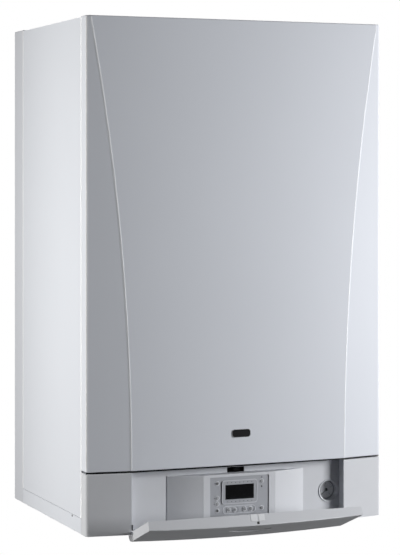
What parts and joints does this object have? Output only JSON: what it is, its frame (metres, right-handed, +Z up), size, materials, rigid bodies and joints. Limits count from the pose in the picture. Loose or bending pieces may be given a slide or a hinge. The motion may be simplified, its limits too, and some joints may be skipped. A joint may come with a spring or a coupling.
{
  "type": "wall-mounted gas boiler",
  "caption": "Wall-hung gas boiler with a built-in hot water tank: bowed front panel with raked side facets above a control panel behind a hinged flap.",
  "frame": {"origin": "on the wall plane, at the middle of the casing's lower rear edge", "axes": "+X to the right as seen from the front, +Y into the wall, +Z up"},
  "size_m": [0.6008, 0.5485, 0.988],
  "materials": {
    "casing_paint": "semi-gloss silver-white paint",
    "control_plastic": "satin light grey moulding",
    "unit_plastic": "satin mid grey moulding",
    "button_plastic": "smooth light grey caps",
    "display_black": "dark display window",
    "black_plastic": "black moulding",
    "lamp_plastic": "unlit indicator",
    "dial_print": "dark printed dial",
    "clear_lens": "clear lens",
    "circuit_board": "green board",
    "stainless": "brushed stainless sheet",
    "zinc_steel": "zinc-plated steel",
    "cast_aluminium": "sand-cast aluminium",
    "white_plastic": "white moulding",
    "vessel_paint": "red enamel",
    "copper": "drawn copper tube",
    "brass": "machined brass",
    "pump_iron": "painted casting",
    "ceramic_white": "glazed insulator"
  },
  "bodies": {
    "casing": {"back_frame": "casing_paint", "base_tray": "casing_paint", "burner_door": "cast_aluminium", "burner_tube": "stainless", "coil_pipes": "copper", "collar_screws": "zinc_steel", "condensate_trap": "black_plastic", "control_box_cover": "black_plastic", "control_console": "control_plastic", "control_fascia": "control_plastic", "control_unit": "unit_plastic", "display_board": "circuit_board", "display_window": "display_black", "diverter_motor": "black_plastic", "diverter_valve": "brass", "expansion_vessel": "vessel_paint", "fan_housing": "cast_aluminium", "fan_motor": "black_plastic", "flap_catch": "black_plastic", "flap_hinge_pins": "zinc_steel", "flue_collar": "white_plastic", "flue_duct": "stainless", "frame_brackets": "zinc_steel", "front_panel": "casing_paint", "gas_mixer": "cast_aluminium", "gas_pipe": "copper", "gas_valve": "cast_aluminium", "gauge_can": "control_plastic", "gauge_dial": "dial_print", "gauge_lens": "clear_lens", "heat_exchanger": "stainless", "heating_pipes": "copper", "ignition_electrode": "ceramic_white", "large_nipples": "brass", "left_side_panel": "casing_paint", "main_board": "circuit_board", "mixture_duct": "cast_aluminium", "pump_body": "pump_iron", "pump_motor": "black_plastic", "right_side_panel": "casing_paint", "safety_valve": "brass", "seam_clips": "black_plastic", "small_nipples": "brass", "status_lamp": "lamp_plastic", "storage_tank": "stainless", "tap_water_pipes": "copper", "top_panel": "casing_paint"},
    "flap": {"control_flap": "control_plastic"},
    "needle": {"gauge_needle": "black_plastic"},
    "impeller": {"fan_impeller": "cast_aluminium"},
    "menu_key": {"menu_button": "button_plastic"},
    "up_key": {"up_button": "button_plastic"},
    "down_key": {"down_button": "button_plastic"},
    "summer_key": {"summer_button": "button_plastic"},
    "heating_less_key": {"heating_less_button": "button_plastic"},
    "heating_more_key": {"heating_more_button": "button_plastic"},
    "water_less_key": {"water_less_button": "button_plastic"},
    "water_more_key": {"water_more_button": "button_plastic"},
    "reset_key": {"reset_button": "button_plastic"},
    "power_key": {"power_button": "button_plastic"}
  },
  "joints": [
    {"name": "flap_hinge", "type": "hinge", "parent": "casing", "child": "flap", "pos_m": [0, -0.439, 0.005], "axis": [1, 0, 0], "range_deg": [-69, 0]},
    {"name": "needle_turn", "type": "hinge", "parent": "casing", "child": "needle", "pos_m": [0.194, -0.4295, 0.053], "axis": [0, 1, 0], "range_deg": [0, 270]},
    {"name": "impeller_spin", "type": "hinge", "parent": "casing", "child": "impeller", "pos_m": [0.183, -0.294, 0.485], "axis": [0, 1, 0], "continuous": true},
    {"name": "menu_press", "type": "slide", "parent": "casing", "child": "menu_key", "axis": [0, 1, 0], "range_m": [0, 0.001], "stiffness_N_per_m": 600},
    {"name": "up_press", "type": "slide", "parent": "casing", "child": "up_key", "axis": [0, 1, 0], "range_m": [0, 0.001], "stiffness_N_per_m": 600},
    {"name": "down_press", "type": "slide", "parent": "casing", "child": "down_key", "axis": [0, 1, 0], "range_m": [0, 0.001], "stiffness_N_per_m": 600},
    {"name": "summer_press", "type": "slide", "parent": "casing", "child": "summer_key", "axis": [0, 1, 0], "range_m": [0, 0.001], "stiffness_N_per_m": 600},
    {"name": "heating_less_press", "type": "slide", "parent": "casing", "child": "heating_less_key", "axis": [0, 1, 0], "range_m": [0, 0.001], "stiffness_N_per_m": 600},
    {"name": "heating_more_press", "type": "slide", "parent": "casing", "child": "heating_more_key", "axis": [0, 1, 0], "range_m": [0, 0.001], "stiffness_N_per_m": 600},
    {"name": "water_less_press", "type": "slide", "parent": "casing", "child": "water_less_key", "axis": [0, 1, 0], "range_m": [0, 0.001], "stiffness_N_per_m": 600},
    {"name": "water_more_press", "type": "slide", "parent": "casing", "child": "water_more_key", "axis": [0, 1, 0], "range_m": [0, 0.001], "stiffness_N_per_m": 600},
    {"name": "reset_press", "type": "slide", "parent": "casing", "child": "reset_key", "axis": [0, 1, 0], "range_m": [0, 0.001], "stiffness_N_per_m": 600},
    {"name": "power_press", "type": "slide", "parent": "casing", "child": "power_key", "axis": [0, 1, 0], "range_m": [0, 0.001], "stiffness_N_per_m": 600}
  ]
}
